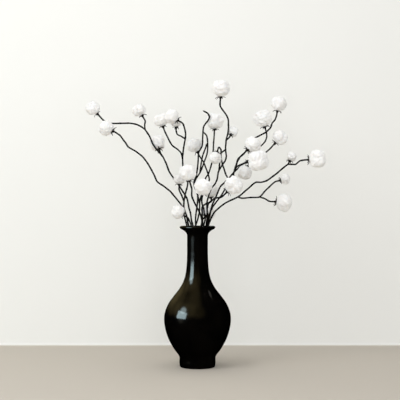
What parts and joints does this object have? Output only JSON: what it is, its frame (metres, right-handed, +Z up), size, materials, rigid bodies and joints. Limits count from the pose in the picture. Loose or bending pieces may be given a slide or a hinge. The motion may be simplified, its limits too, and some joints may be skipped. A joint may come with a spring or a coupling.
{
  "type": "bottle vase with dried cotton branches",
  "caption": "Tall bottle-shaped floor vase in black glazed ceramic with a flared lip, holding wavy dried cotton branches that each stand loose in the neck and lift straight out.",
  "frame": {"origin": "centre of the foot on the floor, on the vase's axis", "axes": "+Z up along the vase's axis; -Y is the front of the arrangement and +X is its right-hand side seen from the front"},
  "size_m": [0.779, 0.322, 0.92],
  "materials": {
    "glaze": "gloss black glaze",
    "bark": "dark dry bark",
    "husk": "dry husk",
    "cotton": "loose fibre"
  },
  "bodies": {
    "vase": {"vase": "glaze"},
    "branch_01": {"branch_01_stem": "bark", "branch_01_calyxes": "husk", "branch_01_bolls": "cotton"},
    "branch_02": {"branch_02_stem": "bark", "branch_02_calyxes": "husk", "branch_02_bolls": "cotton"},
    "branch_03": {"branch_03_stem": "bark", "branch_03_calyxes": "husk", "branch_03_bolls": "cotton"},
    "branch_04": {"branch_04_stem": "bark", "branch_04_calyxes": "husk", "branch_04_bolls": "cotton"},
    "branch_05": {"branch_05_stem": "bark", "branch_05_calyxes": "husk", "branch_05_bolls": "cotton"},
    "branch_06": {"branch_06_stem": "bark", "branch_06_calyxes": "husk", "branch_06_bolls": "cotton"},
    "branch_07": {"branch_07_stem": "bark", "branch_07_calyxes": "husk", "branch_07_bolls": "cotton"},
    "branch_08": {"branch_08_stem": "bark", "branch_08_calyxes": "husk", "branch_08_bolls": "cotton"},
    "branch_09": {"branch_09_stem": "bark", "branch_09_calyxes": "husk", "branch_09_bolls": "cotton"},
    "branch_10": {"branch_10_stem": "bark", "branch_10_calyxes": "husk", "branch_10_bolls": "cotton"},
    "branch_11": {"branch_11_stem": "bark", "branch_11_calyxes": "husk", "branch_11_bolls": "cotton"},
    "branch_12": {"branch_12_stem": "bark", "branch_12_calyxes": "husk", "branch_12_bolls": "cotton"},
    "branch_13": {"branch_13_stem": "bark", "branch_13_calyxes": "husk", "branch_13_bolls": "cotton"}
  },
  "joints": [
    {"name": "branch_01_lift", "type": "slide", "parent": "vase", "child": "branch_01", "axis": [0, 0, 1], "range_m": [0, 0.45]},
    {"name": "branch_02_lift", "type": "slide", "parent": "vase", "child": "branch_02", "axis": [0, 0, 1], "range_m": [0, 0.45]},
    {"name": "branch_03_lift", "type": "slide", "parent": "vase", "child": "branch_03", "axis": [0, 0, 1], "range_m": [0, 0.45]},
    {"name": "branch_04_lift", "type": "slide", "parent": "vase", "child": "branch_04", "axis": [0, 0, 1], "range_m": [0, 0.45]},
    {"name": "branch_05_lift", "type": "slide", "parent": "vase", "child": "branch_05", "axis": [0, 0, 1], "range_m": [0, 0.45]},
    {"name": "branch_06_lift", "type": "slide", "parent": "vase", "child": "branch_06", "axis": [0, 0, 1], "range_m": [0, 0.45]},
    {"name": "branch_07_lift", "type": "slide", "parent": "vase", "child": "branch_07", "axis": [0, 0, 1], "range_m": [0, 0.45]},
    {"name": "branch_08_lift", "type": "slide", "parent": "vase", "child": "branch_08", "axis": [0, 0, 1], "range_m": [0, 0.45]},
    {"name": "branch_09_lift", "type": "slide", "parent": "vase", "child": "branch_09", "axis": [0, 0, 1], "range_m": [0, 0.45]},
    {"name": "branch_10_lift", "type": "slide", "parent": "vase", "child": "branch_10", "axis": [0, 0, 1], "range_m": [0, 0.45]},
    {"name": "branch_11_lift", "type": "slide", "parent": "vase", "child": "branch_11", "axis": [0, 0, 1], "range_m": [0, 0.45]},
    {"name": "branch_12_lift", "type": "slide", "parent": "vase", "child": "branch_12", "axis": [0, 0, 1], "range_m": [0, 0.45]},
    {"name": "branch_13_lift", "type": "slide", "parent": "vase", "child": "branch_13", "axis": [0, 0, 1], "range_m": [0, 0.45]}
  ]
}
